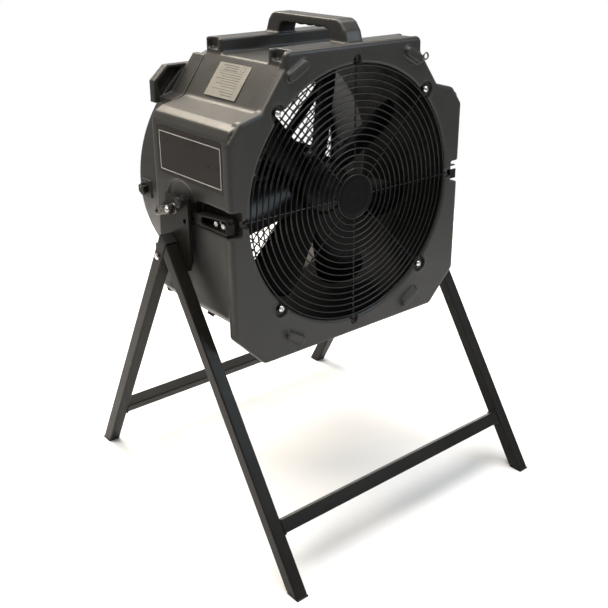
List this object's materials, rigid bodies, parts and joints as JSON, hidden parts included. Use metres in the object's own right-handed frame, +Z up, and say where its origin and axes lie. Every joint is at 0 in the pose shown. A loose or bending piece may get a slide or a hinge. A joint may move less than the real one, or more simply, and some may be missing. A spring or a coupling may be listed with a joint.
{
  "type": "axial air mover",
  "caption": "Axial air mover: square-front moulded fan housing with wire guard and top handle, tilting in a folding A-frame stand of square tube.",
  "frame": {"origin": "on the floor under the middle of the stand", "axes": "+Z up, the air outlet faces -Y, +X to the right seen from the outlet"},
  "size_m": [0.658, 0.72, 0.956],
  "materials": {
    "housing_plastic": "moulded polyethylene, satin charcoal grey",
    "fan_black": "gloss black",
    "guard_wire": "coated wire, gloss black",
    "zinc_steel": "zinc plated",
    "motor_paint": "semi-gloss black",
    "black_plastic": "black moulded plastic",
    "label_white": "off-white printed label, blank",
    "panel_vinyl": "dark vinyl",
    "rubber_black": "moulded rubber",
    "powder_black": "powder coat, semi-gloss black"
  },
  "bodies": {
    "front_frame": {"head_plate_left": "powder_black", "head_plate_right": "powder_black", "plunger_body_left": "black_plastic", "plunger_body_right": "black_plastic", "front_leg_left": "powder_black", "front_leg_right": "powder_black", "front_brace": "powder_black", "front_foot_caps": "rubber_black", "fold_bolts": "zinc_steel"},
    "housing": {"front_panel": "housing_plastic", "main_shell": "housing_plastic", "top_ridges": "housing_plastic", "rear_drum": "housing_plastic", "side_pads": "housing_plastic", "carry_handle": "housing_plastic", "corner_loop_left": "housing_plastic", "corner_loop_right": "housing_plastic", "rear_foot_lugs": "housing_plastic", "fan_shroud": "housing_plastic", "front_grille": "guard_wire", "grille_badge": "guard_wire", "grille_screws": "zinc_steel", "rear_mesh": "guard_wire", "rear_mesh_ring": "guard_wire", "motor_body": "motor_paint", "motor_end_bells": "motor_paint", "motor_mount": "motor_paint", "motor_bolts": "zinc_steel", "capacitor": "black_plastic", "switch_box": "black_plastic", "cord_gland": "black_plastic", "eye_bolt": "zinc_steel", "rating_label": "label_white", "side_panel_left": "panel_vinyl", "side_panel_right": "panel_vinyl", "housing_feet": "rubber_black", "side_arm_left": "powder_black", "side_arm_right": "powder_black", "arm_bolts": "zinc_steel", "pivot_stud_left": "zinc_steel", "pivot_stud_right": "zinc_steel"},
    "rear_frame": {"rear_leg_left": "powder_black", "rear_leg_right": "powder_black", "rear_brace": "powder_black", "rear_foot_caps": "rubber_black", "leg_top_caps": "black_plastic"},
    "fan": {"motor_shaft": "zinc_steel", "impeller_hub": "fan_black", "blade_1": "fan_black", "blade_2": "fan_black", "blade_3": "fan_black", "blade_4": "fan_black", "blade_5": "fan_black", "blade_6": "fan_black", "blade_7": "fan_black"},
    "speed_knob": {"switch_knob": "black_plastic"},
    "lever_left": {"clamp_lever_left": "zinc_steel"},
    "lever_right": {"clamp_lever_right": "zinc_steel"},
    "pin_left": {"index_pin_left": "powder_black"},
    "pin_right": {"index_pin_right": "powder_black"}
  },
  "joints": [
    {"name": "housing_tilt", "type": "hinge", "parent": "front_frame", "child": "housing", "pos_m": [0, 0.018, 0.634], "axis": [1, 0, 0], "range_deg": [-90, 90]},
    {"name": "fan_spin", "type": "hinge", "parent": "housing", "child": "fan", "pos_m": [0, -0.022, 0.634], "axis": [0, 1, 0], "continuous": true},
    {"name": "stand_fold", "type": "hinge", "parent": "front_frame", "child": "rear_frame", "pos_m": [0, 0.04427, 0.53913], "axis": [1, 0, 0], "range_deg": [-58, 0]},
    {"name": "lever_left_turn", "type": "hinge", "parent": "housing", "child": "lever_left", "pos_m": [-0.31, 0.018, 0.634], "axis": [1, 0, 0], "range_deg": [-55, 25]},
    {"name": "lever_right_turn", "type": "hinge", "parent": "housing", "child": "lever_right", "pos_m": [0.31, 0.018, 0.634], "axis": [1, 0, 0], "range_deg": [-55, 25]},
    {"name": "pin_left_slide", "type": "slide", "parent": "front_frame", "child": "pin_left", "axis": [-1, 0, 0], "range_m": [0, 0.005], "stiffness_N_per_m": 1500, "springref_m": -0.003},
    {"name": "pin_right_slide", "type": "slide", "parent": "front_frame", "child": "pin_right", "axis": [1, 0, 0], "range_m": [0, 0.005], "stiffness_N_per_m": 1500, "springref_m": -0.003},
    {"name": "speed_turn", "type": "hinge", "parent": "housing", "child": "speed_knob", "pos_m": [-0.268, 0.189, 0.626], "axis": [-1, 0, 0], "range_deg": [0, 180]}
  ]
}
